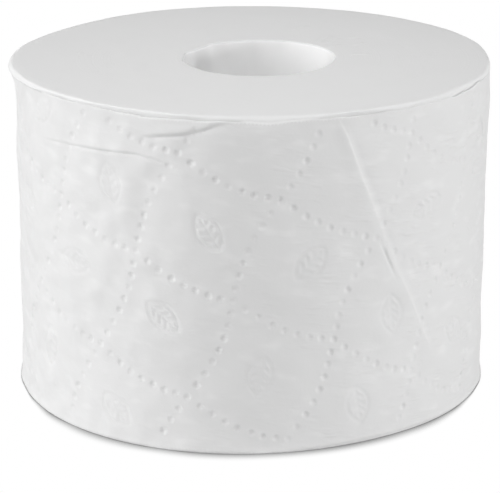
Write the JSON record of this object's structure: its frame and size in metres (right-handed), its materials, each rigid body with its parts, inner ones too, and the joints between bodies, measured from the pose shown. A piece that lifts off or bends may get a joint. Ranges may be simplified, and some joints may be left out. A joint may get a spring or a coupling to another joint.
{
  "type": "toilet paper roll",
  "caption": "Compact coreless toilet paper roll, a wide wound cylinder with a plain round hole, soft rims and a quilting of small pressed dots round its wall.",
  "frame": {"origin": "centre of the outer circle on the bottom end face", "axes": "+Z along the roll's axis towards the top end face, -Y towards the front of the pictured view"},
  "size_m": [0.1334, 0.1334, 0.093],
  "materials": {
    "tissue_paper": "matt quilted tissue"
  },
  "bodies": {
    "root": {"paper_roll": "tissue_paper"}
  },
  "joints": []
}
